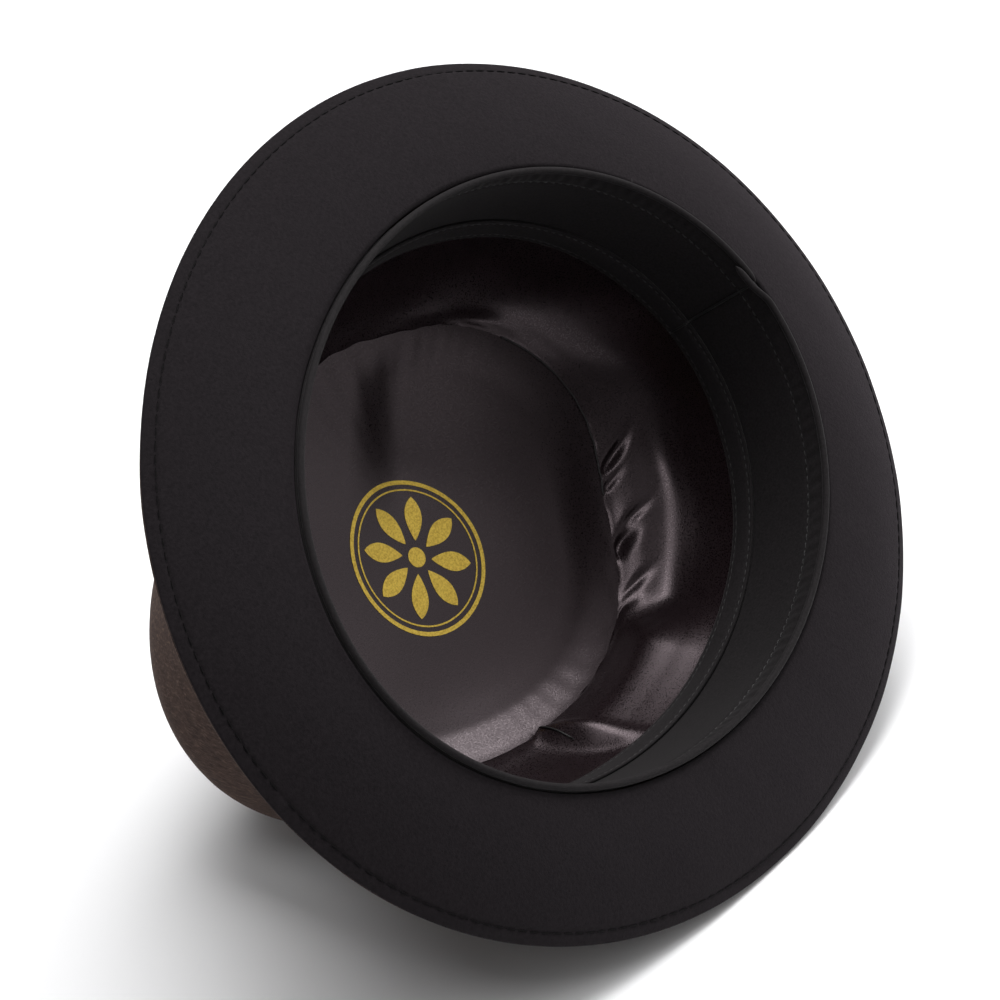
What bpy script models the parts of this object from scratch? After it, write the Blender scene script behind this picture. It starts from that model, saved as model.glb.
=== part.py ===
"""A felt pork pie hat lying on its side, in metres with Z up.

Each piece is worked out standing upright, the head opening round the origin, X to the wearer's right,
Y to the front and Z up to the crown. At the end all of them are turned together onto the right side,
where the hat comes to rest by itself.

Offsets are measured outward from the head opening's outline, and heights up from the brim's under face.
"""

import math

import bpy
import numpy as np
from mathutils import Matrix, Vector

MM = 0.001
COLUMNS = 60
GAP = 0.3

# Head opening, measured at the piping's outer edge
OPENING_HALF_LENGTH = 100.0
OPENING_HALF_WIDTH = 81.7
BACK_WIDENING = 0.052
EDGE_DIP_ENDS = -2.5
EDGE_DIP_FRONT = -0.9
EDGE_DIP_RIGHT = -0.8
EDGE_DIP_TWIST = -0.55

# Brim, measured along its under face
BRIM_CHORD = 40.0
BRIM_CHORD_SIDES = 0.7
BRIM_UPTURN = math.radians(16.7)
BRIM_UPTURN_ENDS = math.radians(1.5)
BRIM_UPTURN_RIGHT = math.radians(-1.1)
BRIM_UPTURN_TWIST = math.radians(1.3)
BRIM_CURL = math.radians(12)
FELT_THICK = 1.6
UNDERBRIM_THICK = 1.2
UNDERBRIM_INSET = 0.5

# Crown
CROWN_HEIGHT = 102.5
WALL_TAPER = 13.4
WALL_TAPER_SIDES = 5.3
WALL_TAPER_TWIST = 2.0
WALL_CURVE = 1.6
CROWN_LEAN_LEFT = 0.8
BEND_RADIUS = 3.0
RIM_RADIUS = 18.0
DENT_DEPTH = 25.0
DENT_SLOPE_WIDTH = 20.0
SUNK_TOP_DOME = 2.0

# Sweatband, its tape and the piping
BAND_LOWER_EDGE = 0.5
BAND_HEIGHT = 36.0
BAND_THICK = 1.0
TAPE_HEIGHT = 8.0
TAPE_THICK = 1.0
TAPE_RISE = 0.6
PIPING_RADIUS = 1.0
PIPING_OVERLAP = 0.09

# Lining
LINING_THICK = 1.0
LINING_TUCK = 6.0
SEAM_BELOW_TOP = 8.9
SEAM_INSET = 12.4
SEAM_INSET_ENDS = 3.6
TIP_DOME = 4.0

# The direction of the floor, turned from straight right towards the front
LYING_ROLL = math.radians(10.07)

# Shares of the wall's height where its rings lie, and where the edge's dip fades out of it
WALL_SHARES = (0.09, 0.33, 0.58, 0.82, 1.0)
DIP_FADE_SHARES = (0.15, 0.64)

# The dent's slope from rim to sunk top: share of its width, share of its depth
DENT_PROFILE = ((0.28, 0.19), (0.52, 0.53), (0.76, 0.86), (1.0, 1.0))

# The sunk top and the lining's tip, towards their middle: share of the size, share of the dome
TOP_PROFILE = ((0.66, 0.6), (0.33, 0.9))
TIP_PROFILE = ((0.8, 0.4), (0.5, 0.8), (0.22, 0.97))

# The lining's turn from the wall to the tip seam: share of the way in, share of the rise
LINING_STRAIGHT_SHARE = 0.65
LINING_TURN_PROFILE = ((0.25, 0.62), (0.6, 0.88), (1.0, 1.0))


def clear_scene():
    for obj in list(bpy.data.objects):
        bpy.data.objects.remove(obj)


def angles():
    """The angle of each column, from the front round by the wearer's right."""
    return np.arange(COLUMNS) * 2 * math.pi / COLUMNS


def opening_line(t):
    """The head opening's outline seen from above."""
    x = OPENING_HALF_WIDTH * np.sin(t) * (1 - BACK_WIDENING * np.cos(t))
    y = OPENING_HALF_LENGTH * np.cos(t)
    return np.stack([x, y], axis=1)


def outward(t):
    """The outline's outward normals."""
    step = 1e-4
    along = opening_line(t + step) - opening_line(t - step)
    across = np.stack([-along[:, 1], along[:, 0]], axis=1)
    return across / np.linalg.norm(across, axis=1)[:, None]


def edge_dip(t):
    """How far the opening's edge rises out of a flat plane."""
    lengthwise = EDGE_DIP_ENDS * np.cos(2 * t) + EDGE_DIP_FRONT * np.cos(t)
    crosswise = EDGE_DIP_RIGHT * np.sin(t) + EDGE_DIP_TWIST * np.sin(2 * t)
    return lengthwise + crosswise


def ring(t, offset, height):
    """One ring of points round the hat. The edge's dip fades out up the wall, and the crown leans a little."""
    flat = opening_line(t) + outward(t) * np.broadcast_to(offset, t.shape)[:, None]
    share = np.broadcast_to(height, t.shape) / CROWN_HEIGHT
    flat[:, 0] -= CROWN_LEAN_LEFT * np.clip(share, 0, 1)
    dip = edge_dip(t) * np.interp(share, DIP_FADE_SHARES, (1, 0))
    return np.column_stack([flat, height + dip])


def brim_upturn(t):
    across = BRIM_UPTURN_RIGHT * np.sin(t) + BRIM_UPTURN_TWIST * np.sin(2 * t)
    return BRIM_UPTURN + BRIM_UPTURN_ENDS * np.cos(2 * t) + across


def brim_ring(t, along, lift):
    """A ring on the brim, from 0 at the opening to 1 at its edge, lifted off the under face.

    The brim's section is an arc that turns by the curl to each side of the upturn.
    """
    first = brim_upturn(t) - BRIM_CURL
    slope = first + 2 * BRIM_CURL * along
    radius = (BRIM_CHORD - BRIM_CHORD_SIDES * np.cos(2 * t)) / (2 * math.sin(BRIM_CURL))
    offset = radius * (np.sin(slope) - np.sin(first))
    height = radius * (np.cos(first) - np.cos(slope))
    return ring(t, offset - lift * np.sin(slope), height + lift * np.cos(slope))


def wall_foot():
    """The wall's offset at its foot, which leaves room for the tucked-in lining behind the band."""
    return LINING_THICK + 2 * GAP


def wall_taper(t):
    return WALL_TAPER - WALL_TAPER_SIDES * np.cos(2 * t) + WALL_TAPER_TWIST * np.sin(2 * t)


def wall_offset(t, height):
    """The crown wall's inner face, which leans in towards the top."""
    return wall_foot() - wall_taper(t) * (height / (CROWN_HEIGHT - RIM_RADIUS)) ** WALL_CURVE


def wall_lean(t):
    """How far the wall leans in where it runs into the rim, as an angle."""
    return np.arctan(WALL_CURVE * wall_taper(t) / (CROWN_HEIGHT - RIM_RADIUS))


def wall_top(t):
    return CROWN_HEIGHT - RIM_RADIUS + (RIM_RADIUS - FELT_THICK) * np.sin(wall_lean(t))


def rim_middle(t):
    """The offset of the rim's highest line."""
    return wall_offset(t, wall_top(t)) - (RIM_RADIUS - FELT_THICK) * np.cos(wall_lean(t))


def bend_rings(t, lift):
    """The felt's bend from the brim up into the crown wall."""
    foot = lift + (wall_foot() + BEND_RADIUS) * np.tan(brim_upturn(t) - BRIM_CURL)
    rings = []
    for turn in np.radians([20, 50, 80]):
        offset = wall_foot() + BEND_RADIUS * (1 - np.sin(turn))
        rings.append(ring(t, offset, foot + BEND_RADIUS * (1 - np.cos(turn))))
    return rings


def wall_rings(t):
    top = wall_top(t)
    return [ring(t, wall_offset(t, top * share), top * share) for share in WALL_SHARES]


def rim_rings(t):
    """The rounded rim, from the wall over to its highest line."""
    radius = RIM_RADIUS - FELT_THICK
    lean = wall_lean(t)
    rings = []
    for share in (0.25, 0.5, 0.75, 1):
        turn = lean + (math.pi / 2 - lean) * share
        height = CROWN_HEIGHT - RIM_RADIUS + radius * np.sin(turn)
        rings.append(ring(t, rim_middle(t) + radius * np.cos(turn), height))
    return rings


def dent_rings(t):
    """The slope from the rim's highest line down to the sunk top."""
    crest = CROWN_HEIGHT - FELT_THICK
    start = rim_middle(t)
    return [
        ring(t, start - DENT_SLOPE_WIDTH * across, crest - DENT_DEPTH * down)
        for across, down in DENT_PROFILE
    ]


def domed(outline, profile, dome):
    """Smaller and smaller copies of a ring, rising to a dome, and the dome's middle point."""
    middle = outline.mean(axis=0)
    rings = [middle + (outline - middle) * share + [0, 0, dome * rise] for share, rise in profile]
    return rings, middle + [0, 0, dome]


def surface_of(rings, centre=None):
    """An open mesh between rings of points, its faces looking away from the head."""
    points = [tuple(p) for outline in rings for p in outline]
    faces = []
    for row in range(len(rings) - 1):
        for i in range(COLUMNS):
            j = (i + 1) % COLUMNS
            a, b = row * COLUMNS, (row + 1) * COLUMNS
            faces.append((a + i, b + i, b + j, a + j))
    if centre is not None:
        last = (len(rings) - 1) * COLUMNS
        points.append(tuple(centre))
        for i in range(COLUMNS):
            faces.append((last + i, len(points) - 1, last + (i + 1) % COLUMNS))
    return points, faces


def material(name, color, roughness):
    made = bpy.data.materials.new(name)
    made.use_nodes = True
    shader = made.node_tree.nodes["Principled BSDF"]
    shader.inputs["Base Color"].default_value = (*color, 1)
    shader.inputs["Roughness"].default_value = roughness
    made.diffuse_color = (*color, 1)
    return made


def sheet(name, surface, thick, side, look):
    """A closed sheet of even thickness from an open surface. Side 1 thickens it outwards, -1 inwards."""
    points, faces = surface
    mesh = bpy.data.meshes.new(name)
    mesh.from_pydata([[c * MM for c in p] for p in points], [], faces)
    mesh.materials.append(look)
    mesh.shade_smooth()
    obj = bpy.data.objects.new(name, mesh)
    thicken = obj.modifiers.new("thickness", "SOLIDIFY")
    thicken.thickness = thick * MM
    thicken.offset = side
    thicken.use_even_offset = True
    return obj


def felt_body():
    """The brim's upper layer, the crown wall, the rim and the sunk top, blocked from one piece of felt."""
    t = angles()
    lift = UNDERBRIM_THICK + GAP
    brim_foot = (wall_foot() + 1.7 * BEND_RADIUS) / BRIM_CHORD
    rings = [brim_ring(t, along, lift) for along in np.linspace(1, brim_foot, 5)]
    rings += bend_rings(t, lift) + wall_rings(t) + rim_rings(t) + dent_rings(t)
    inner, centre = domed(rings[-1], TOP_PROFILE, SUNK_TOP_DOME)
    look = material("brown felt", (0.075, 0.047, 0.032), 0.95)
    return sheet("felt_body", surface_of(rings + inner, centre), FELT_THICK, 1, look)


def underbrim():
    inset = UNDERBRIM_INSET / BRIM_CHORD
    rings = [brim_ring(angles(), along, 0) for along in np.linspace(1 - inset, inset, 7)]
    look = material("black felt", (0.016, 0.014, 0.015), 0.95)
    return sheet("underbrim", surface_of(rings), UNDERBRIM_THICK, 1, look)


def band_offset(t, height):
    """The sweatband's outer face, which keeps the wall's lean."""
    return wall_offset(t, height) - wall_foot()


def sweatband():
    t = angles()
    heights = np.linspace(BAND_LOWER_EDGE, BAND_HEIGHT, 4)
    rings = [ring(t, band_offset(t, height), height) for height in heights]
    look = material("black band cloth", (0.013, 0.012, 0.013), 0.8)
    return sheet("sweatband", surface_of(rings), BAND_THICK, -1, look)


def sweatband_tape():
    """The folded tape on the inner face of the band's upper edge."""
    t = angles()
    top = BAND_HEIGHT + TAPE_RISE
    rings = []
    for height in np.linspace(top - TAPE_HEIGHT, top, 3):
        rings.append(ring(t, band_offset(t, height) - BAND_THICK - GAP, height))
    look = material("black tape", (0.015, 0.014, 0.015), 0.7)
    return sheet("sweatband_tape", surface_of(rings), TAPE_THICK, -1, look)


def piping():
    """A cord round the opening, just below the band, whose ends lie side by side at the back."""
    curve = bpy.data.curves.new("piping", "CURVE")
    curve.dimensions = "3D"
    curve.bevel_depth = PIPING_RADIUS * MM
    curve.bevel_resolution = 1
    curve.use_fill_caps = True
    curve.materials.append(material("black cord", (0.014, 0.013, 0.014), 0.7))
    past = PIPING_OVERLAP / 2
    t = math.pi + np.linspace(-past, 2 * math.pi + past, COLUMNS + 5)
    beside = 2 * PIPING_RADIUS + GAP
    inward = np.zeros(len(t))
    inward[-3:] = (0.7 * beside, beside, beside)
    path = ring(t, -PIPING_RADIUS - inward, BAND_LOWER_EDGE - GAP - PIPING_RADIUS)
    line = curve.splines.new("POLY")
    line.points.add(len(path) - 1)
    for point, place in zip(line.points, path):
        point.co = (*(place * MM), 1)
    return bpy.data.objects.new("piping", curve)


def seam_height():
    return CROWN_HEIGHT - DENT_DEPTH - FELT_THICK - SEAM_BELOW_TOP


def seam_offset(t):
    """The tip seam lies further in from the wall at the front and back."""
    return wall_offset(t, seam_height()) - SEAM_INSET - SEAM_INSET_ENDS * np.cos(2 * t)


def lining_side():
    """The satin band: up the wall from behind the sweatband, then turned in to the tip seam."""
    t = angles()
    low = BAND_HEIGHT - LINING_TUCK
    turn = low + LINING_STRAIGHT_SHARE * (seam_height() - low)
    rings = [ring(t, wall_offset(t, height) - GAP, height) for height in (low, turn)]
    start = wall_offset(t, turn) - GAP
    for inward, rise in LINING_TURN_PROFILE:
        offset = start + (seam_offset(t) - start) * inward
        rings.append(ring(t, offset, turn + (seam_height() - turn) * rise))
    look = material("black satin", (0.010, 0.009, 0.010), 0.3)
    return sheet("lining_side", surface_of(rings), LINING_THICK, -1, look)


def lining_tip():
    t = angles()
    edge = ring(t, seam_offset(t) - 2 * GAP, seam_height())
    inner, centre = domed(edge, TIP_PROFILE, TIP_DOME)
    look = material("black satin tip", (0.010, 0.009, 0.010), 0.3)
    return sheet("lining_tip", surface_of([edge] + inner, centre), LINING_THICK, -1, look)


def evaluated_mesh(obj):
    graph = bpy.context.evaluated_depsgraph_get()
    return bpy.data.meshes.new_from_object(obj.evaluated_get(graph))


def corners_of(pieces):
    """Every corner of the finished pieces."""
    corners = []
    for obj in pieces:
        mesh = evaluated_mesh(obj)
        corners += [v.co.copy() for v in mesh.vertices]
        bpy.data.meshes.remove(mesh)
    return np.array(corners)


def down_direction(lean):
    """Which way is down for a hat that lies on its right side and leans towards its crown."""
    level = math.cos(lean)
    return np.array([level * math.cos(LYING_ROLL), level * math.sin(LYING_ROLL), math.sin(lean)])


def resting_lean(corners):
    """The lean at which the brim's edge and the crown's rim both touch the floor."""
    crown = corners[:, 2] > CROWN_HEIGHT * MM / 2
    low, high = 0.0, math.pi / 2
    for _ in range(40):
        lean = (low + high) / 2
        depth = corners @ down_direction(lean)
        if depth[crown].max() < depth[~crown].max():
            low = lean
        else:
            high = lean
    return lean


def lying_turn(lean):
    """The turn that brings down to -Z, the opening round to -Y and the front to -X."""
    down = Vector(down_direction(lean))
    crown = Vector((0, 0, 1))
    behind = (crown - down * crown.dot(down)).normalized()
    sideways = behind.cross(-down)
    return Matrix((sideways, behind, -down)).to_4x4()


def lay_down(pieces):
    """Lays all pieces on the right side, the lowest point on the floor and the box's middle at the origin."""
    bpy.context.view_layer.update()
    corners = corners_of(pieces)
    turn = lying_turn(resting_lean(corners))
    laid = corners @ np.array(turn.to_3x3()).T
    low, high = laid.min(axis=0), laid.max(axis=0)
    place = Matrix.Translation((-(low[0] + high[0]) / 2, -(low[1] + high[1]) / 2, -low[2]))
    for obj in pieces:
        obj.matrix_world = place @ turn


def main():
    clear_scene()
    collection = bpy.data.collections.new("pork pie hat")
    bpy.context.scene.collection.children.link(collection)
    makers = (felt_body, underbrim, piping, sweatband, sweatband_tape, lining_side, lining_tip)
    pieces = [make() for make in makers]
    for obj in pieces:
        collection.objects.link(obj)
    lay_down(pieces)


main()
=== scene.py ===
"""A felt pork pie hat on its right side: its look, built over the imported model.

Each piece is made standing upright in millimetres, the head opening round the origin, X to the wearer's
right, Y to the front and Z up to the crown, and then turned with the model's own lying turn.
Offsets are measured outward from the head opening's outline, heights up from the brim's under face.
"""

import math

import bpy
import numpy as np
from mathutils import Matrix, Vector
from mathutils.bvhtree import BVHTree


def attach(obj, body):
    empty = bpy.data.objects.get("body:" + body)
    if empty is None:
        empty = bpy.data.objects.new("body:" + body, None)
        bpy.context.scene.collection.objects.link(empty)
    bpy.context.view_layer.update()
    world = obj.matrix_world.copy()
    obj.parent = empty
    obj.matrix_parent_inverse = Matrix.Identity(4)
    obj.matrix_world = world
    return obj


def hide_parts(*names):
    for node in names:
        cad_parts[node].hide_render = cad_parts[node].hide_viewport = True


MM = 0.001
GAP = 0.3

# The model's sizes that the pieces here follow
OPENING_HALF_LENGTH = 100.0
OPENING_HALF_WIDTH = 81.7
BACK_WIDENING = 0.052
EDGE_DIP_ENDS = -2.5
EDGE_DIP_FRONT = -0.9
EDGE_DIP_RIGHT = -0.8
EDGE_DIP_TWIST = -0.55
DIP_FADE_SHARES = (0.15, 0.64)
BRIM_CHORD = 40.0
BRIM_CHORD_SIDES = 0.7
BRIM_UPTURN = math.radians(16.7)
BRIM_UPTURN_ENDS = math.radians(1.5)
BRIM_UPTURN_RIGHT = math.radians(-1.1)
BRIM_UPTURN_TWIST = math.radians(1.3)
BRIM_CURL = math.radians(12)
FELT_THICK = 1.6
UNDERBRIM_THICK = 1.2
UNDERBRIM_INSET = 0.5
CROWN_HEIGHT = 102.5
WALL_TAPER = 13.4
WALL_TAPER_SIDES = 5.3
WALL_TAPER_TWIST = 2.0
WALL_CURVE = 1.6
CROWN_LEAN_LEFT = 0.8
BEND_RADIUS = 3.0
RIM_RADIUS = 18.0
DENT_DEPTH = 25.0
DENT_SLOPE_WIDTH = 20.0
SUNK_TOP_DOME = 2.0
BAND_LOWER_EDGE = 0.5
BAND_HEIGHT = 36.0
BAND_THICK = 1.0
TAPE_HEIGHT = 8.0
TAPE_RISE = 0.6
TAPE_TOP = BAND_HEIGHT + TAPE_RISE
TAPE_LOW = TAPE_TOP - TAPE_HEIGHT
PIPING_RADIUS = 1.0
PIPING_OVERLAP = 0.09
LINING_THICK = 1.0
LINING_LOW = 30.0
SEAM_HEIGHT = 67.0
SEAM_INSET = 12.4
SEAM_INSET_ENDS = 3.6
TIP_DOME = 4.0
WALL_FOOT = LINING_THICK + 2 * GAP

# Finer forms that only the pieces here have
FELT_COLUMNS = 300
CLOTH_COLUMNS = 720
TAPE_COLUMNS = 480
PIPING_STEPS = 420
PIPING_SIDES = 14
CORD_SIDES = 8
BRIM_STITCHES_ALONG = 0.905
BRIM_STITCH_GROOVE = 0.2
BRIM_EDGE_ROUNDING = 0.4
BRIM_WAVER = 0.35
CROWN_WAVER = 0.55
BAND_STITCH_HEIGHT = 7.0
TAPE_FACE = 0.75
TAPE_STITCH_INSET = 1.1
STITCH_SIDES = 6
STITCH_ROWS = 5
SATIN_FROM_WALL = 0.4
LINING_JOIN_PLACE = 78.0
BACK_SEAM_PLACE = 177.3

# The foil rosette on the tip panel
ROSETTE_PLACE = (-1.6, 4.0)
ROSETTE_RINGS = ((23.5, 22.2), (20.8, 20.3))
ROSETTE_POINTS = 72
PETALS = 8
PETAL_START = 5.0
PETAL_LENGTH = 13.5
PETAL_HALF_WIDTH = 3.6
PETAL_STEPS = 17
DOT_RADIUS = 3.0
DOT_POINTS = 36

# The model's lying turn and place
LYING_LEAN = math.radians(36.142)
LYING_ROLL = math.radians(10.07)
LYING_PLACE = Vector((-0.000096, -0.026727, 0.104857))

# Camera, in the model's frame
CAMERA_PLACE = Vector((-0.54305, -0.47434, 0.50584))
CAMERA_TARGET = Vector((-0.01554, -0.01221, 0.10054))
CAMERA_ROLL = math.radians(6.689)
CAMERA_LENS = 107.9

# The direction in which the world is bright
BRIGHT_SIDE = (0.65, -0.65, 0.39)


def lying_matrix():
    """The turn from the upright hat in millimetres to the lying one in metres."""
    down = Vector((
        math.cos(LYING_LEAN) * math.cos(LYING_ROLL),
        math.cos(LYING_LEAN) * math.sin(LYING_ROLL),
        math.sin(LYING_LEAN),
    ))
    crown = Vector((0, 0, 1))
    behind = (crown - down * crown.dot(down)).normalized()
    turn = Matrix((behind.cross(-down), behind, -down)).to_4x4()
    return Matrix.Translation(LYING_PLACE) @ turn @ Matrix.Scale(MM, 4)


def smooth(x):
    x = np.clip(x, 0, 1)
    return x * x * (3 - 2 * x)


def bump(x, middle, width):
    """A soft bell, 1 in the middle."""
    return np.exp(-(((x - middle) / width) ** 2))


def turn_bump(t, middle, width):
    """A soft bell round the ring, its middle and width in degrees."""
    away = np.degrees(np.angle(np.exp(1j * (t - math.radians(middle)))))
    return np.exp(-((away / width) ** 2))


def angles(columns):
    return np.arange(columns) * 2 * math.pi / columns


def opening_line(t):
    x = OPENING_HALF_WIDTH * np.sin(t) * (1 - BACK_WIDENING * np.cos(t))
    y = OPENING_HALF_LENGTH * np.cos(t)
    return np.stack([x, y], axis=1)


def unit(rows):
    return rows / np.linalg.norm(rows, axis=1)[:, None]


def outward(t):
    """The outline's outward normals."""
    step = 1e-4
    along = opening_line(t + step) - opening_line(t - step)
    return unit(np.stack([-along[:, 1], along[:, 0]], axis=1))


def edge_dip(t):
    """How far the opening's edge rises out of a flat plane."""
    lengthwise = EDGE_DIP_ENDS * np.cos(2 * t) + EDGE_DIP_FRONT * np.cos(t)
    return lengthwise + EDGE_DIP_RIGHT * np.sin(t) + EDGE_DIP_TWIST * np.sin(2 * t)


def ring(t, offset, height):
    """One ring of points round the hat. The dip fades out up the wall, and the crown leans a little."""
    flat = opening_line(t) + outward(t) * np.broadcast_to(offset, t.shape)[:, None]
    share = np.broadcast_to(height, t.shape) / CROWN_HEIGHT
    flat[:, 0] -= CROWN_LEAN_LEFT * np.clip(share, 0, 1)
    dip = edge_dip(t) * np.interp(share, DIP_FADE_SHARES, (1, 0))
    return np.column_stack([flat, height + dip])


def brim_upturn(t):
    across = BRIM_UPTURN_RIGHT * np.sin(t) + BRIM_UPTURN_TWIST * np.sin(2 * t)
    return BRIM_UPTURN + BRIM_UPTURN_ENDS * np.cos(2 * t) + across


def brim_section(t, along, lift):
    """Offset and height of a point on the brim, from 0 at the opening to 1 at its edge."""
    first = brim_upturn(t) - BRIM_CURL
    slope = first + 2 * BRIM_CURL * along
    radius = (BRIM_CHORD - BRIM_CHORD_SIDES * np.cos(2 * t)) / (2 * math.sin(BRIM_CURL))
    offset = radius * (np.sin(slope) - np.sin(first))
    height = radius * (np.cos(first) - np.cos(slope))
    return offset - lift * np.sin(slope), height + lift * np.cos(slope)


def brim_ring(t, along, lift):
    return ring(t, *brim_section(t, along, lift))


def wall_taper(t):
    return WALL_TAPER - WALL_TAPER_SIDES * np.cos(2 * t) + WALL_TAPER_TWIST * np.sin(2 * t)


def wall_offset(t, height):
    return WALL_FOOT - wall_taper(t) * (np.maximum(height, 0) / (CROWN_HEIGHT - RIM_RADIUS)) ** WALL_CURVE


def band_offset(t, height):
    return wall_offset(t, height) - WALL_FOOT


def seam_offset(t):
    return wall_offset(t, SEAM_HEIGHT) - SEAM_INSET - SEAM_INSET_ENDS * np.cos(2 * t)


def mesh_object(name, points, faces, look):
    """A smooth mesh from points on the upright hat, laid down with it."""
    mesh = bpy.data.meshes.new(name)
    mesh.from_pydata([tuple(p) for p in points], [], [tuple(f) for f in faces])
    mesh.materials.append(look)
    mesh.transform(LYING)
    mesh.shade_smooth()
    obj = bpy.data.objects.new(name, mesh)
    bpy.context.scene.collection.objects.link(obj)
    return obj


def loft_faces(rows, columns, closed_rows=False):
    a = np.arange(rows if closed_rows else rows - 1)[:, None] * columns
    b = (a + columns) % (rows * columns)
    i = np.arange(columns)
    j = (i + 1) % columns
    return np.stack([a + i, b + i, b + j, a + j], axis=-1).reshape(-1, 4)


def loft(name, rings, look, closed_rows=False, middle=None):
    """A smooth mesh over rings of points. closed_rows joins the last ring to the first."""
    columns = len(rings[0])
    points = np.concatenate(rings)
    faces = list(loft_faces(len(rings), columns, closed_rows))
    if middle is not None:
        last = (len(rings) - 1) * columns
        faces += [(last + i, len(points), last + (i + 1) % columns) for i in range(columns)]
        points = np.vstack([points, middle])
    return mesh_object(name, points, faces, look)


def ring_uv(obj, columns, heights):
    """Lays out the mesh by its way round the hat and its height, both in millimetres."""
    layer = obj.data.uv_layers.new(name="ring")
    length = math.pi * (OPENING_HALF_LENGTH + OPENING_HALF_WIDTH)
    for face in obj.data.polygons:
        seam = any(v % columns == columns - 1 for v in face.vertices)
        for loop in face.loop_indices:
            v = obj.data.loops[loop].vertex_index
            column = v % columns
            if seam and column == 0:
                column = columns
            layer.data[loop].uv = (column / columns * length, heights[v // columns])


def sweep(centres, across, up, radius, sides):
    """Points and faces of a round tube along centres, capped at both ends."""
    around = angles(sides)
    reach = np.asarray(radius).reshape(-1, 1, 1)
    sideways = np.cos(around)[None, :, None] * reach
    upward = np.sin(around)[None, :, None] * reach
    points = centres[:, None, :] + sideways * across[:, None, :] + upward * up[:, None, :]
    last = (len(centres) - 1) * sides
    faces = [tuple(f) for f in loft_faces(len(centres), sides)]
    faces.append(tuple(range(sides))[::-1])
    faces.append(tuple(range(last, last + sides)))
    return points.reshape(-1, 3), faces


# Materials


class Look:
    """A material with its node tree, and short calls that add nodes to it."""

    def __init__(self, name, color, roughness):
        self.material = bpy.data.materials.new(name)
        self.material.use_nodes = True
        self.tree = self.material.node_tree
        self.shader = self.tree.nodes["Principled BSDF"]
        self.shader.inputs["Base Color"].default_value = (*color, 1)
        self.shader.inputs["Roughness"].default_value = roughness
        self.coords = self.tree.nodes.new("ShaderNodeTexCoord")

    def feed(self, value, socket):
        """Links an output to the socket, or sets a plain value on it."""
        if isinstance(value, bpy.types.NodeSocket):
            self.tree.links.new(value, socket)
        else:
            socket.default_value = value

    def node(self, kind, settings=None, **values):
        made = self.tree.nodes.new("ShaderNode" + kind)
        for key, value in (settings or {}).items():
            setattr(made, key, value)
        for key, value in values.items():
            self.feed(value, made.inputs[key.replace("_", " ")])
        return made

    def place(self, scale=(1, 1, 1), turn=(0, 0, 0), space="Object"):
        """Texture coordinates in millimetres."""
        mapping = self.node("Mapping", Vector=self.coords.outputs[space])
        per_unit = 1 if space == "UV" else 1 / MM
        mapping.inputs["Scale"].default_value = [c * per_unit for c in scale]
        mapping.inputs["Rotation"].default_value = turn
        return mapping.outputs[0]

    def noise(self, place, scale, detail, rough, distortion=0.0):
        made = self.node("TexNoise", Vector=place, Scale=scale, Detail=detail, Roughness=rough)
        made.inputs["Distortion"].default_value = distortion
        return made.outputs["Fac"]

    def ramp(self, value, stops):
        made = self.node("ValToRGB", Fac=value)
        elements = made.color_ramp.elements
        while len(elements) < len(stops):
            elements.new(0.5)
        for element, (position, color) in zip(elements, stops):
            element.position = position
            element.color = (*color, 1)
        return made.outputs["Color"]

    def mix(self, factor, first, second):
        """Two colours mixed: the node's sockets 6 and 7 are its colours, and 2 is its colour output."""
        made = self.node("Mix", {"data_type": "RGBA"})
        for value, index in ((factor, 0), (first, 6), (second, 7)):
            self.feed((*value, 1) if isinstance(value, tuple) else value, made.inputs[index])
        return made.outputs[2]

    def product(self, first, second):
        made = self.node("Math", {"operation": "MULTIPLY"})
        self.feed(first, made.inputs[0])
        self.feed(second, made.inputs[1])
        return made.outputs[0]

    def bump(self, height, strength, distance, before=None):
        """Bump with its distance in millimetres, on top of another where one is given."""
        made = self.node("Bump", Height=height, Strength=strength, Distance=distance * MM)
        if before is not None:
            self.feed(before, made.inputs["Normal"])
        return made.outputs[0]

    def finish(self, color=None, roughness=None, normal=None, **values):
        for value, key in ((color, "Base Color"), (roughness, "Roughness"), (normal, "Normal")):
            if value is not None:
                self.feed(value, self.shader.inputs[key])
        for key, value in values.items():
            self.shader.inputs[key.replace("_", " ")].default_value = value
        return self.material


def grey(value):
    return (value, value, value)


def black_felt():
    look = Look("black felt", (0.012, 0.011, 0.012), 0.9)
    place = look.place()
    fine = look.noise(place, 1.1, 4, 0.7)
    coarse = look.noise(place, 0.12, 3, 0.6)
    color = look.ramp(fine, [(0.3, (0.0040, 0.0032, 0.0038)), (0.72, (0.0140, 0.0115, 0.0130))])
    color = look.mix(look.product(coarse, 0.5), color, (0.0092, 0.0076, 0.0086))
    normal = look.bump(fine, 0.6, 0.25)
    return look.finish(
        color, normal=normal, Sheen_Weight=0.06, Sheen_Roughness=0.5, Sheen_Tint=(0.6, 0.5, 0.57, 1),
        Specular_IOR_Level=0.08,
    )


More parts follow.
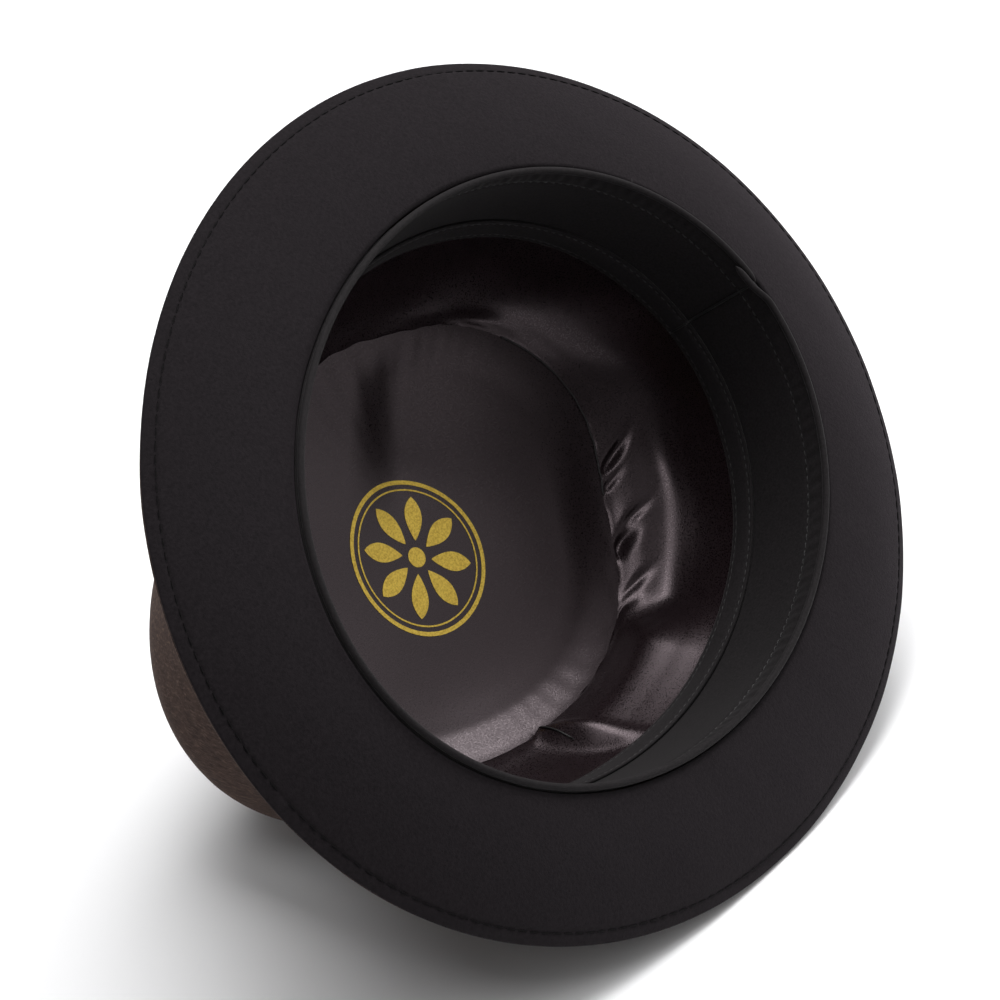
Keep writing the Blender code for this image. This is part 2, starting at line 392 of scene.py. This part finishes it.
def brown_felt():
    """Fibres in two directions, a dark one over a warm one, and a slow mottle."""
    look = Look("brown heather felt", (0.06, 0.04, 0.03), 0.9)
    one = look.noise(look.place((1, 0.25, 1), (0.3, 0.5, 0.9)), 1.3, 3, 0.6, 0.6)
    two = look.noise(look.place((0.3, 1, 1), (0.9, -0.4, 0.3)), 1.2, 3, 0.6, 0.6)
    mottle = look.noise(look.place(), 0.16, 4, 0.6)
    warm = look.ramp(one, [
        (0.36, (0.014, 0.008, 0.006)),
        (0.56, (0.046, 0.028, 0.022)),
        (0.74, (0.105, 0.068, 0.052)),
    ])
    dark_share = look.ramp(two, [(0.5, grey(0)), (0.68, grey(1))])
    mottle_share = look.ramp(mottle, [(0.3, grey(0)), (0.8, grey(0.4))])
    color = look.mix(dark_share, warm, (0.020, 0.012, 0.010))
    color = look.mix(mottle_share, color, (0.055, 0.034, 0.027))
    normal = look.bump(one, 0.6, 0.25)
    return look.finish(
        color, normal=normal, Sheen_Weight=0.12, Sheen_Roughness=0.5, Sheen_Tint=(0.7, 0.55, 0.5, 1),
        Specular_IOR_Level=0.08,
    )


def satin():
    look = Look("black satin", (0.009, 0.007, 0.009), 0.3)
    grain = look.noise(look.place(), 2.4, 1, 0.5)
    slow = look.noise(look.place(), 0.035, 2, 0.5)
    rough = look.ramp(grain, [(0.3, grey(0.22)), (0.7, grey(0.42))])
    color = look.ramp(grain, [(0.35, (0.0030, 0.0015, 0.0019)), (0.65, (0.0090, 0.0052, 0.0062))])
    even_share = look.ramp(slow, [(0.35, grey(0)), (0.7, grey(0.5))])
    color = look.mix(even_share, color, (0.0070, 0.0038, 0.0047))
    normal = look.bump(grain, 0.8, 0.035)
    return look.finish(color, rough, normal, Specular_IOR_Level=0.5, Specular_Tint=(1.0, 0.82, 0.88, 1))


def cloth(name, tone):
    """Matt black cloth in a plain weave that follows the ring."""
    look = Look(name, (tone, tone * 0.85, tone * 0.92), 0.8)
    warp = look.node("TexWave", {"bands_direction": "X"}, Vector=look.place(space="UV"), Scale=0.9)
    weft = look.node("TexWave", {"bands_direction": "Y"}, Vector=look.place(space="UV"), Scale=0.9)
    weave = look.product(warp.outputs["Fac"], weft.outputs["Fac"])
    fine = look.noise(look.place(), 1.4, 3, 0.6)
    low = (tone * 0.6, tone * 0.5, tone * 0.55)
    high = (tone * 1.5, tone * 1.27, tone * 1.38)
    color = look.ramp(fine, [(0.3, low), (0.72, high)])
    normal = look.bump(weave, 0.3, 0.05, look.bump(fine, 0.4, 0.12))
    return look.finish(color, normal=normal, Sheen_Weight=0.05, Sheen_Roughness=0.4, Specular_IOR_Level=0.12)


def thread(name, tone, shine=0.4):
    look = Look(name, (tone, tone * 0.92, tone * 0.97), 0.6)
    return look.finish(Specular_IOR_Level=shine)


def foil():
    look = Look("gold foil", (0.80, 0.56, 0.13), 0.38)
    worn = look.noise(look.place(), 1.6, 4, 0.7)
    color = look.ramp(worn, [(0.3, (0.36, 0.23, 0.03)), (0.6, (0.66, 0.47, 0.08))])
    rough = look.ramp(worn, [(0.3, grey(0.55)), (0.7, grey(0.34))])
    return look.finish(color, rough, look.bump(worn, 0.2, 0.05), Metallic=0.75)


# Pieces


def felt_waver(points, size, seed):
    """How far points rise in a slow, even waver, as hand-blocked felt has."""
    waves = 14
    rng = np.random.default_rng(seed)
    out = np.zeros(len(points))
    for _ in range(waves):
        direction = rng.normal(size=3)
        direction /= np.linalg.norm(direction)
        out += np.sin(points @ direction * 2 * math.pi / rng.uniform(14, 60) + rng.uniform(0, 6.3))
    return out * size / waves


def underbrim(look):
    """The black under layer: its under face, its rounded edge, its upper face and its inner edge."""
    t = angles(FELT_COLUMNS)
    inset = UNDERBRIM_INSET / BRIM_CHORD
    plain_part = np.linspace(inset, 0.87, 24)
    stitched_part = np.linspace(0.885, 1 - inset, 15)
    alongs = np.concatenate([plain_part, stitched_part])
    rings = [brim_ring(t, a, BRIM_STITCH_GROOVE * bump(a, BRIM_STITCHES_ALONG, 0.012)) for a in alongs]
    half = UNDERBRIM_THICK / 2
    for turn in np.radians([-55, -20, 20, 55]):
        past = BRIM_EDGE_ROUNDING * math.cos(turn) / BRIM_CHORD
        rings.append(brim_ring(t, 1 - inset + past, half + half * math.sin(turn)))
    rings += [brim_ring(t, a, UNDERBRIM_THICK) for a in alongs[::-2]]
    for r in rings:
        r[:, 2] += felt_waver(r, BRIM_WAVER, 3)
    obj = loft("underbrim_felt", rings[::-1], look, closed_rows=True)
    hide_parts("underbrim")
    return obj


def felt_sections(t):
    """Rings of the felt shell's inner face, from the brim's edge to the middle of the sunk top."""
    lift = UNDERBRIM_THICK + GAP
    foot = (WALL_FOOT + 1.7 * BEND_RADIUS) / BRIM_CHORD
    rings = [brim_ring(t, a, lift) for a in np.linspace(1, foot, 26)]
    base = lift + (WALL_FOOT + BEND_RADIUS) * np.tan(brim_upturn(t) - BRIM_CURL)
    for turn in np.radians([15, 35, 55, 75]):
        offset = WALL_FOOT + BEND_RADIUS * (1 - np.sin(turn))
        rings.append(ring(t, offset, base + BEND_RADIUS * (1 - np.cos(turn))))
    lean = np.arctan(WALL_CURVE * wall_taper(t) / (CROWN_HEIGHT - RIM_RADIUS))
    radius = RIM_RADIUS - FELT_THICK
    top = CROWN_HEIGHT - RIM_RADIUS + radius * np.sin(lean)
    for share in np.linspace(0.08, 1, 24):
        rings.append(ring(t, wall_offset(t, top * share), top * share))
    rim = wall_offset(t, top) - radius * np.cos(lean)
    for share in np.linspace(0, 1, 12)[1:]:
        turn = lean + (math.pi / 2 - lean) * share
        rings.append(ring(t, rim + radius * np.cos(turn), CROWN_HEIGHT - RIM_RADIUS + radius * np.sin(turn)))
    crest = CROWN_HEIGHT - FELT_THICK
    for share in np.linspace(0, 1, 14)[1:]:
        rings.append(ring(t, rim - DENT_SLOPE_WIDTH * share, crest - DENT_DEPTH * smooth(share)))
    return rings


def domed(outline, shares, dome):
    """Rings from an outline in to its middle, rising by dome, and the middle point."""
    middle = outline.mean(axis=0)
    rings = [middle + (outline - middle) * s + [0, 0, dome * (1 - s * s)] for s in shares]
    return rings, middle + [0, 0, dome]


def felt_body(look):
    """The brown shell: its inner face, thickened outward, with the cut edge softened."""
    t = angles(FELT_COLUMNS)
    rings = felt_sections(t)
    inner, middle = domed(rings[-1], np.linspace(0.94, 0.04, 16), SUNK_TOP_DOME)
    rings += inner
    for r in rings:
        r[:, 2] += felt_waver(r, CROWN_WAVER, 5)
    obj = loft("felt_shell", rings, look, middle=middle)
    thicken = obj.modifiers.new("thickness", "SOLIDIFY")
    thicken.thickness = FELT_THICK * MM
    thicken.offset = 1
    soften = obj.modifiers.new("cut edge", "BEVEL")
    soften.limit_method = "ANGLE"
    soften.angle_limit = math.radians(60)
    soften.width = 0.35 * MM
    soften.segments = 2
    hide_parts("felt_body")
    return obj


def piping(look):
    """A cord covered in cloth round the opening, whose ends lie side by side at the back."""
    past = PIPING_OVERLAP / 2
    t = math.pi + np.linspace(-past, 2 * math.pi + past, PIPING_STEPS)
    aside = smooth((np.degrees(t - math.pi) - 352) / 6) * (2 * PIPING_RADIUS + GAP)
    path = ring(t, -PIPING_RADIUS - aside, BAND_LOWER_EDGE - GAP - PIPING_RADIUS)
    from_end = np.minimum(np.arange(len(t)), np.arange(len(t))[::-1])
    rounding = np.clip(1 - (1 - np.clip(from_end / 3, 0, 1)) ** 2, 0.03, 1)
    out = np.column_stack([outward(t), np.zeros(len(t))])
    up = np.tile([0.0, 0.0, 1.0], (len(t), 1))
    points, faces = sweep(path, out, up, PIPING_RADIUS * np.sqrt(rounding), PIPING_SIDES)
    obj = mesh_object("piping_cord", points, faces, look)
    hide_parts("piping")
    return obj


def sweatband(look):
    """The cloth band, with a gathered strip next to the piping and a groove where it is stitched."""
    t = angles(CLOTH_COLUMNS)
    gathered_part = np.linspace(BAND_LOWER_EDGE, 7.5, 15)
    plain_part = np.linspace(8.3, BAND_HEIGHT, 24)
    heights = np.concatenate([gathered_part, plain_part])
    phase = np.random.default_rng(11).uniform(0, 6.3, 3)
    rings = [ring(t, band_offset(t, h), h) for h in heights]
    for h in heights[::-1]:
        gather = smooth((6.6 - h) / 1.5) * smooth((h - 0.4) / 1.2)
        fine = np.sin(150 * t + 2.2 * np.sin(9 * t + phase[0]) + 0.35 * h)
        fine += 0.6 * np.sin(97 * t + 1.7 * np.sin(13 * t + phase[1]) - 0.3 * h)
        groove = bump(h, BAND_STITCH_HEIGHT, 0.45)
        roll = bump(h, 4.0, 2.2)
        slack = 0.35 * np.sin(5 * t + phase[2] + h * 0.08) * smooth(h / 12) * smooth((BAND_HEIGHT - h) / 8)
        face = -BAND_THICK * 0.8 - 0.10 * gather * fine + 0.35 * groove - 0.25 * roll - 0.2 + slack * 0.5
        rings.append(ring(t, band_offset(t, h) + face, h))
    obj = loft("sweatband_cloth", rings, look, closed_rows=True)
    ring_uv(obj, CLOTH_COLUMNS, list(heights) + list(heights[::-1]))
    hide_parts("sweatband")
    return obj


def tape_offset(t, h):
    """The tape's inner face: raised between its two stitched lines."""
    swell = np.clip((h - TAPE_LOW) * (TAPE_TOP - h) / (TAPE_HEIGHT / 2) ** 2, 0, 1)
    lines = bump(h, TAPE_LOW + TAPE_STITCH_INSET, 0.35) + bump(h, TAPE_TOP - TAPE_STITCH_INSET, 0.35)
    face = band_offset(t, h) - BAND_THICK - GAP - TAPE_FACE
    return face - 0.35 * swell + 0.3 * lines + 0.15 * np.sin(9 * t + 0.5 * h)


def sweatband_tape(look):
    """The folded tape along the band's top edge."""
    t = angles(TAPE_COLUMNS)
    heights = np.linspace(TAPE_TOP - TAPE_HEIGHT, TAPE_TOP, 24)
    rings = [ring(t, band_offset(t, h) - BAND_THICK - GAP, h) for h in heights]
    rings += [ring(t, tape_offset(t, h), h) for h in heights[::-1]]
    obj = loft("sweatband_tape_cloth", rings, look, closed_rows=True)
    ring_uv(obj, TAPE_COLUMNS, list(heights) + list(heights[::-1]))
    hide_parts("sweatband_tape")
    return obj


# The side band's courses from behind the sweatband to the tip seam: drawn taut, loose low on the right,
# and rolled beside the seam above that.
# Share of the inset from the wall, share of the rise
TAUT_COURSE = ((0, 0), (0.03, 0.2), (0.09, 0.39), (0.18, 0.56), (0.34, 0.72), (0.60, 0.87), (1, 1))
LOOSE_COURSE = ((0, 0), (0.02, 0.16), (0.5, 0.37), (1.0, 0.57), (1.08, 0.76), (1.02, 0.92), (1, 1))
ROLLED_COURSE = ((0, 0), (0.0, 0.2), (0.05, 0.42), (0.14, 0.62), (0.30, 0.78), (0.66, 0.90), (1, 1))

# Nicks in the roll: place round the ring in degrees, share of the course, width in degrees, depth in mm
ROLL_NICKS = (
    (158, 0.90, 1.8, 2.2),
    (150, 0.97, 1.3, 1.2),
    (141, 0.84, 1.6, 1.4),
    (134, 0.92, 2.4, 2.8),
    (124, 0.86, 1.6, 1.2),
    (116, 0.95, 1.6, 1.0),
)


def through(rows, share):
    """A smooth line through evenly spaced rows, read at a share of its length."""
    rows = np.array(rows, float)
    ends = np.vstack([2 * rows[0] - rows[1], rows, 2 * rows[-1] - rows[-2]])
    place = min(max(share, 0), 1) * (len(rows) - 1)
    i = min(int(place), len(rows) - 2)
    u = place - i
    a, b, c, d = ends[i:i + 4]
    square = 2 * a - 5 * b + 4 * c - d
    cube = 3 * b - a - 3 * c + d
    return 0.5 * (2 * b + (c - a) * u + square * u ** 2 + cube * u ** 3)


def seam_pull(t):
    """How far the side band's slack pulls the tip seam inward."""
    return 8.5 * turn_bump(t, 146, 26) + 2.0 * turn_bump(t, -120, 14)


def seam_ripple(t):
    """Small uneven ripples that the sewing leaves along the tip seam."""
    fine = np.sin(37 * t + 3 * np.sin(4 * t)) * (0.5 + 0.5 * np.sin(3 * t + 1))
    return fine + 0.6 * np.sin(59 * t + 2.5 * np.sin(5 * t)) * (0.5 + 0.5 * np.sin(5 * t))


def seam_raise(t):
    """How far the slack lifts the tip seam on the right."""
    return 1.6 * turn_bump(t, 138, 30)


def lining_seam(t):
    """The line where the side band and the tip panel meet."""
    return ring(t, seam_offset(t) - seam_pull(t) + 0.2 * seam_ripple(t), SEAM_HEIGHT + seam_raise(t))


def fold_line(share):
    """Place in degrees of the fold where the loose cloth on the right begins."""
    return 74 + 8 * (1 - share) / 0.8


def looseness(t, share):
    """0 where the side band is drawn along the wall, 1 where it hangs loose, past a fold on the right."""
    degrees = np.degrees(t)
    past_fold = 1 / (1 + np.exp(-np.clip((degrees - fold_line(share)) / 0.7, -30, 30)))
    return past_fold * smooth((170 - degrees) / 18)


def lining_side_point(t, share):
    """The side band at a share of its course."""
    degrees = np.degrees(t)
    loose = looseness(t, share)
    rolled = smooth((degrees - 106) / 16)
    taut_in, taut_up = through(TAUT_COURSE, share)
    low_in, low_up = through(LOOSE_COURSE, share)
    high_in, high_up = through(ROLLED_COURSE, share)
    loose_in = low_in + (high_in - low_in) * rolled
    loose_up = low_up + (high_up - low_up) * rolled
    inward = taut_in + (loose_in - taut_in) * loose
    upward = taut_up + (loose_up - taut_up) * loose
    height = LINING_LOW + (SEAM_HEIGHT - LINING_LOW) * upward
    inset = wall_offset(t, SEAM_HEIGHT) - GAP - SATIN_FROM_WALL - seam_offset(t) + seam_pull(t)
    offset = wall_offset(t, height) - GAP - SATIN_FROM_WALL - inset * inward
    between_edges = smooth(share / 0.2) * smooth((1 - share) / 0.12)
    waves = 1 + 0.6 * np.sin(7 * t + 5 * share) + 0.4 * np.sin(13 * t - 7 * share + 1.0)
    hem = bump(degrees, fold_line(share) + 2.4, 1.7)
    offset = offset - (0.6 * waves + 1.0 * hem) * between_edges
    height = height + seam_raise(t) * smooth((share - 0.8) / 0.2)
    height = height + 1.5 * turn_bump(t, -146, 8) * bump(share, 0.93, 0.05)
    for place, across, width, depth in ROLL_NICKS:
        nick = bump(degrees + 40 * (share - across), place, width) * bump(share, across, 0.08)
        height = height + depth * nick * (1 - smooth((share - 0.97) / 0.03))
    return ring(t, offset, height)


def lining_side(look):
    """The satin side band, from behind the sweatband to the tip seam."""
    t = angles(CLOTH_COLUMNS)
    rings = [lining_side_point(t, share) for share in np.linspace(0, 0.985, 64)]
    rings.append(lining_seam(t) + [0, 0, 0.3])
    obj = loft("lining_side_satin", rings, look)
    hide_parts("lining_side")
    return obj


def lining_tip(look):
    """The tip panel: drawn down in the middle, with a lip along its right edge and a soft valley."""
    t = angles(CLOTH_COLUMNS)
    seam = lining_seam(t)
    middle = seam.mean(axis=0)
    lip = turn_bump(t, 72, 42)
    rings = []
    for s in np.linspace(1, 0.02, 70):
        r = middle + (seam - middle) * s
        x, y = r[:, 0], r[:, 1]
        flat = 1 - smooth((s - 0.72) / 0.28)
        r[:, 2] += (SEAM_HEIGHT - r[:, 2]) * flat + TIP_DOME * (1 - s ** 3)
        r[:, 2] += 1.9 * lip * smooth((1 - s) / 0.18) * smooth((s - 0.15) / 0.6)
        r[:, 2] -= 0.05 * seam_ripple(t) * bump(s, 0.985, 0.02)
        across = (x + 40) * 0.79 - (y + 20) * 0.62
        along = (x + 40) * 0.62 + (y + 20) * 0.79
        step = smooth(across / 20 + 0.5) * (1 - smooth(across / 70))
        r[:, 2] += 3.2 * step * bump(along, 0, 26) * smooth((1 - s) / 0.2)
        r[:, 2] += 0.6 * (np.sin(x / 17 + y / 23) + np.sin(y / 13 - x / 29 + 1)) * (1 - s ** 2)
        rings.append(r)
    obj = loft("lining_tip_satin", rings, look, middle=rings[-1].mean(axis=0))
    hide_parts("lining_tip")
    return obj


def stitch_line(name, points, normals, look, length, gap, width, height):
    """A row of short threads along a line of points, each sunk at its ends."""
    steps = np.linalg.norm(np.diff(points, axis=0), axis=1)
    along = np.concatenate([[0], np.cumsum(steps)])
    arch = np.sin(np.linspace(0, math.pi, STITCH_ROWS))
    swell = 0.55 + 0.45 * arch
    verts, faces = [], []
    for k in range(int(along[-1] / (length + gap))):
        s = k * (length + gap) + np.linspace(0, length, STITCH_ROWS)
        centre = np.stack([np.interp(s, along, points[:, c]) for c in range(3)], axis=1)
        normal = unit(np.stack([np.interp(s, along, normals[:, c]) for c in range(3)], axis=1))
        across = np.cross(unit(np.gradient(centre, axis=0)), normal)
        centre = centre + normal * (height * (arch[:, None] - 0.6))
        tube, cells = sweep(centre, across, normal, width / 2 * swell, STITCH_SIDES)
        first = len(verts)
        faces += [tuple(i + first for i in cell) for cell in cells]
        verts += list(tube)
    return mesh_object(name, verts, faces, look)


def closed_line(t, offset, height):
    points = ring(t, offset, height)
    return np.vstack([points, points[:1]])


def stitches():
    """The stitched lines of the brim, the band and the tape."""
    t = angles(CLOTH_COLUMNS)
    inward = np.column_stack([-outward(t), np.zeros(len(t))])
    inward = np.vstack([inward, inward[:1]])
    down = np.tile([0.0, 0.0, -1.0], (len(inward), 1))
    dark = thread("black thread", 0.010)
    # The brim's stitches use a darker, duller copy of the black thread: painted shade for the groove they
    # lie in.
    sunk = thread("black thread with painted groove shade", 0.004, 0.05)
    brim = closed_line(t, *brim_section(t, BRIM_STITCHES_ALONG, 0))
    rows = [stitch_line("brim_stitches", brim, down, sunk, 2.6, 1.1, 0.42, 0.05)]
    band_face = band_offset(t, BAND_STITCH_HEIGHT) - BAND_THICK + 0.2
    band = closed_line(t, band_face, BAND_STITCH_HEIGHT)
    rows.append(stitch_line("band_stitches", band, inward, dark, 1.9, 0.7, 0.4, 0.25))
    low = TAPE_LOW + TAPE_STITCH_INSET
    high = TAPE_TOP - TAPE_STITCH_INSET
    for name, h in (("tape_stitches_low", low), ("tape_stitches_high", high)):
        line = closed_line(t, tape_offset(t, h), h)
        rows.append(stitch_line(name, line, inward, dark, 1.9, 0.7, 0.38, 0.22))
    return rows


def thin_cord(name, path, radius, look):
    """A thread laid along a short path."""
    side = np.tile([1.0, 0.0, 0.0], (len(path), 1))
    front = np.tile([0.0, 1.0, 0.0], (len(path), 1))
    points, faces = sweep(path, side, front, radius, CORD_SIDES)
    return mesh_object(name, points, faces, look)


def lining_join(look):
    """The thread where the side band's ends meet, from the tip seam over the fold."""
    t = np.radians([LINING_JOIN_PLACE])
    path = [lining_side_point(t, share)[0] for share in np.linspace(0.99, 0.60, 24)]
    return thin_cord("lining_join_thread", np.array(path) + [-0.15, 0.1, -0.2], 0.3, look)


def lining_seam_fold(look):
    """The folded edge that stands along the tip seam at the back: a thin cord that is given a lighter thread
    colour as a painted highlight along the seam.
    """
    t = np.radians(np.linspace(148, 206, 90))
    return thin_cord("lining_seam_fold", lining_seam(t) + [0, 0, -0.3], 0.32, look)


def fibres(name, source, lift, count, length, width, look, seed):
    """Fine loose fibres that stand off a felt surface: narrow strips bent once, kept out of the floor."""
    rng = np.random.default_rng(seed)
    mesh = source.data
    places = np.array([v.co for v in mesh.vertices])
    normals = np.array([v.normal for v in mesh.vertices])
    corners = np.array([f.vertices[:3] for f in mesh.polygons])
    areas = np.array([f.area for f in mesh.polygons])
    picked = corners[rng.choice(len(corners), count, p=areas / areas.sum())]
    weights = rng.dirichlet([1, 1, 1], count)[:, :, None]
    root = (places[picked] * weights).sum(axis=1)
    normal = unit((normals[picked] * weights).sum(axis=1))
    flat = unit(np.cross(normal, rng.normal(size=(count, 3))))
    side = np.cross(normal, flat) * width / 2 * MM
    reach = rng.uniform(0.5, 1.0, (count, 1)) * length * MM
    rise = rng.uniform(0.1, 0.5, (count, 1))
    root = root + normal * lift * MM
    middle = root + (flat * 0.5 + normal * rise * 0.6) * reach
    end = root + (flat * rng.uniform(0.6, 1.0, (count, 1)) + normal * rise + side * 200) * reach
    strips = np.stack([root - side, root + side, middle - side, middle + side, end], axis=1)
    base = np.arange(count)[:, None] * 5
    faces = [tuple(f) for f in base + [0, 1, 3, 2]]
    faces += [tuple(f) for f in base + [2, 3, 4]]
    strips[..., 2] = np.maximum(strips[..., 2], 0)
    made = bpy.data.meshes.new(name)
    made.from_pydata([tuple(p) for p in strips.reshape(-1, 3)], [], faces)
    made.materials.append(look)
    obj = bpy.data.objects.new(name, made)
    bpy.context.scene.collection.objects.link(obj)
    return obj


def back_seam(look):
    """The narrow butted seam across the band at the back."""
    t = np.radians([BACK_SEAM_PLACE])
    path = []
    for h in np.linspace(1.0, TAPE_TOP - 0.3, 40):
        offset = tape_offset(t, h) if h > TAPE_LOW else band_offset(t, h) - BAND_THICK - 0.1
        path.append(ring(t, offset, h)[0])
    return thin_cord("band_back_seam", np.array(path), 0.4, look)


def circle(radius, count):
    a = angles(count)
    return np.stack([np.cos(a), np.sin(a)], axis=1) * radius


def flat_ring(outer, inner):
    n = ROSETTE_POINTS
    points = np.vstack([circle(outer, n), circle(inner, n)])
    return points, [(i, (i + 1) % n, n + (i + 1) % n, n + i) for i in range(n)]


def petal(angle):
    n = PETAL_STEPS
    s = np.linspace(0, 1, n)
    half = PETAL_HALF_WIDTH * np.sin(math.pi * s) ** 0.8 * (0.6 + 0.4 * s)
    along = PETAL_START + PETAL_LENGTH * s
    points = np.vstack([np.stack([along, half], axis=1), np.stack([along, -half], axis=1)])
    turn = np.array([[math.cos(angle), -math.sin(angle)], [math.sin(angle), math.cos(angle)]])
    return points @ turn.T, [(i, i + 1, n + i + 1, n + i) for i in range(n - 1)]


def dot():
    n = DOT_POINTS
    points = np.vstack([circle(DOT_RADIUS, n), [[0, 0]]])
    return points, [(i, (i + 1) % n, n) for i in range(n)]


def rosette(look):
    """A plain foil rosette: eight petals round a dot, inside two rings."""
    shapes = [flat_ring(outer, inner) for outer, inner in ROSETTE_RINGS]
    shapes += [petal(math.radians(360 / PETALS * k)) for k in range(PETALS)]
    shapes.append(dot())
    middle_x, middle_y = ROSETTE_PLACE
    verts, faces = [], []
    for points, cells in shapes:
        base = len(verts)
        verts += [(x + middle_x, y + middle_y, 0) for x, y in points]
        faces += [tuple(i + base for i in cell) for cell in cells]
    return mesh_object("lining_rosette", verts, faces, look)


def drape(obj, onto, clearance):
    """Moves each corner along the hat's axis onto another piece's surface, just in front of it."""
    corners = [v.co for v in onto.data.vertices]
    tree = BVHTree.FromPolygons(corners, [p.vertices[:] for p in onto.data.polygons])
    crown = (LYING.to_3x3() @ Vector((0, 0, 1))).normalized()
    for v in obj.data.vertices:
        hit = tree.ray_cast(v.co, crown)
        v.co = hit[0] - crown * clearance * MM


def camera():
    data = bpy.data.cameras.new("camera")
    data.lens = CAMERA_LENS
    data.sensor_width = 36
    data.clip_start = 0.05
    obj = bpy.data.objects.new("camera", data)
    bpy.context.scene.collection.objects.link(obj)
    looking = (CAMERA_TARGET - CAMERA_PLACE).normalized()
    turn = looking.to_track_quat("-Z", "Y").to_matrix() @ Matrix.Rotation(-CAMERA_ROLL, 3, "Z")
    obj.matrix_world = Matrix.Translation(CAMERA_PLACE) @ turn.to_4x4()
    bpy.context.scene.camera = obj


def area_light(name, place, target, size, power):
    data = bpy.data.lights.new(name, "AREA")
    data.shape = "RECTANGLE"
    data.size, data.size_y = size
    data.energy = power
    obj = bpy.data.objects.new(name, data)
    bpy.context.scene.collection.objects.link(obj)
    obj.location = place
    obj.rotation_euler = (Vector(target) - Vector(place)).to_track_quat("-Z", "Y").to_euler()


def studio():
    """A white floor, a grey world that is bright on one side, and three soft lights."""
    world = bpy.data.worlds.new("studio")
    bpy.context.scene.world = world
    world.use_nodes = True
    tree = world.node_tree
    coords = tree.nodes.new("ShaderNodeTexCoord")
    aside = tree.nodes.new("ShaderNodeVectorMath")
    aside.operation = "DOT_PRODUCT"
    aside.inputs[1].default_value = BRIGHT_SIDE
    shade = tree.nodes.new("ShaderNodeValToRGB")
    shade.color_ramp.elements[0].position = 0.45
    shade.color_ramp.elements[0].color = (*grey(0.13), 1)
    shade.color_ramp.elements[1].position = 0.9
    shade.color_ramp.elements[1].color = (*grey(0.85), 1)
    tree.links.new(coords.outputs["Generated"], aside.inputs[0])
    tree.links.new(aside.outputs["Value"], shade.inputs["Fac"])
    tree.links.new(shade.outputs["Color"], tree.nodes["Background"].inputs["Color"])
    mesh = bpy.data.meshes.new("floor")
    mesh.from_pydata([(-6, -6, 0), (6, -6, 0), (6, 6, 0), (-6, 6, 0)], [], [(0, 1, 2, 3)])
    look = Look("white floor", (0.93, 0.93, 0.94), 0.9)
    mesh.materials.append(look.finish(Specular_IOR_Level=0.0))
    floor = bpy.data.objects.new("floor", mesh)
    bpy.context.scene.collection.objects.link(floor)
    floor.location.z = -0.0005
    area_light("overhead", (0.32, 0.12, 1.35), (0.32, -0.05, 0.1), (1.3, 0.7), 22)
    area_light("upper left", (-0.72, -0.2, 1.25), (0, 0, 0.1), (0.5, 0.5), 3.5)
    area_light("side", (1.1, -0.37, 0.95), (0, 0, 0.1), (0.55, 0.55), 7)
    bpy.context.scene.view_settings.view_transform = "Standard"


LYING = lying_matrix()
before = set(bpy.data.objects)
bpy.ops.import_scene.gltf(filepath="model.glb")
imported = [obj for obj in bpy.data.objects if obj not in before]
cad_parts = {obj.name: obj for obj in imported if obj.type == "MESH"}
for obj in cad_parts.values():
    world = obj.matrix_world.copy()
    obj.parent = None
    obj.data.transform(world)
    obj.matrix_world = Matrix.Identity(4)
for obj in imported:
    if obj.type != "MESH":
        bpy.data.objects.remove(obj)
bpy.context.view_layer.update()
black = black_felt()
brown = brown_felt()
shiny = satin()
shell = felt_body(brown)
under = underbrim(black)
side = lining_side(shiny)
join = lining_join(thread("lining thread", 0.004))
# The seam fold's thread is lighter and shinier than the satin: a painted highlight along the back of the tip
# seam.
seam_fold_highlight = lining_seam_fold(thread("seam fold painted highlight", 0.030, 0.6))
brown_fibre = thread("brown fibre", 0.035, 0.1)
black_fibre = thread("black fibre", 0.016, 0.1)
lint = thread("grey lint", 0.07, 0.1)
pieces = [
    (shell, "brown_felt"),
    (under, "black_felt"),
    (fibres("shell_fibres", shell, FELT_THICK, 7000, 1.3, 0.07, brown_fibre, 21), "brown_felt"),
    (fibres("brim_fibres", under, 0, 9000, 1.1, 0.06, black_fibre, 22), "black_felt"),
    (fibres("brim_lint", under, 0, 260, 2.0, 0.10, lint, 23), "black_felt"),
    (piping(cloth("piping cloth", 0.009)), "black_cord"),
    (sweatband(cloth("band cloth", 0.008)), "black_band_cloth"),
    (sweatband_tape(cloth("tape cloth", 0.009)), "black_tape"),
    (side, "black_satin"),
    (back_seam(thread("seam", 0.008)), "black_band_cloth"),
    (join, "black_satin"),
    (seam_fold_highlight, "black_satin"),
]
tip = lining_tip(shiny)
pieces.append((tip, "black_satin_tip"))
badge = rosette(foil())
drape(badge, tip, 0.12)
pieces.append((badge, "black_satin_tip"))
pieces += [(line, "black_band_cloth") for line in stitches()]
for piece, slot in pieces:
    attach(piece, "root")
camera()
studio()
